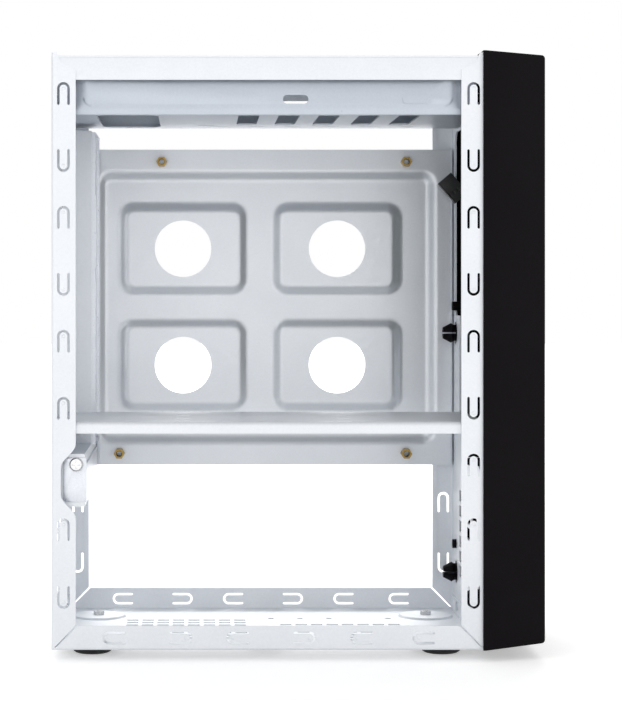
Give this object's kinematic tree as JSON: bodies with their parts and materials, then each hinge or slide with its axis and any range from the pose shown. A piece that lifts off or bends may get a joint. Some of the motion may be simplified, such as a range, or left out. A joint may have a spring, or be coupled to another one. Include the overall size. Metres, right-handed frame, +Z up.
{
  "type": "computer case",
  "caption": "Small steel tower case for a mini-ITX board, open at both sides, with a black front bezel, a drive shelf and an embossed board tray.",
  "frame": {"origin": "centre of the footprint, at the level of the ground under the feet", "axes": "+Z up, +X towards the front bezel, +Y from the open side in the picture towards the board tray"},
  "size_m": [0.2422, 0.133, 0.2963],
  "materials": {
    "steel_sheet": "light zinc-coated sheet, fine grain",
    "plated_sheet": "thin plated sheet",
    "screw_steel": "plated steel",
    "rivet_steel": "plain steel",
    "black_plastic": "fine grain",
    "button_plastic": "smooth",
    "dark_plastic": "plain",
    "green_lens": "clear green",
    "red_lens": "clear red",
    "circuit_board": "green laminate",
    "pink_plastic": "plain",
    "green_plastic": "plain",
    "lead_rubber": "soft sheath",
    "foot_rubber": "dull",
    "brass": "bright"
  },
  "bodies": {
    "case": {"bottom_panel": "steel_sheet", "rear_panel": "steel_sheet", "front_panel": "steel_sheet", "top_panel": "steel_sheet", "board_tray": "steel_sheet", "drive_shelf": "steel_sheet", "cross_brace": "steel_sheet", "slot_cover": "plated_sheet", "slot_screw": "screw_steel", "io_shield": "plated_sheet", "front_bezel": "black_plastic", "bay_cover": "black_plastic", "power_lens": "green_lens", "drive_lens": "red_lens", "front_board": "circuit_board", "power_switch": "dark_plastic", "reset_switch": "dark_plastic", "usb_socket_upper": "screw_steel", "usb_socket_lower": "screw_steel", "mic_jack": "pink_plastic", "headphone_jack": "green_plastic", "board_screws": "screw_steel", "front_lead": "lead_rubber", "lead_connector": "dark_plastic", "lead_clip": "dark_plastic", "standoff_1": "brass", "standoff_2": "brass", "standoff_3": "brass", "standoff_4": "brass", "foot_1": "foot_rubber", "foot_2": "foot_rubber", "foot_3": "foot_rubber", "foot_4": "foot_rubber", "foot_screws": "screw_steel", "frame_rivets": "rivet_steel", "inner_rivets": "rivet_steel"},
    "power_key": {"power_button": "button_plastic"},
    "reset_key": {"reset_button": "button_plastic"}
  },
  "joints": [
    {"name": "power_press", "type": "slide", "parent": "case", "child": "power_key", "axis": [-1, 0, 0], "range_m": [0, 0.0012], "stiffness_N_per_m": 500, "springref_m": -0.001},
    {"name": "reset_press", "type": "slide", "parent": "case", "child": "reset_key", "axis": [-1, 0, 0], "range_m": [0, 0.0012], "stiffness_N_per_m": 400, "springref_m": -0.001}
  ]
}
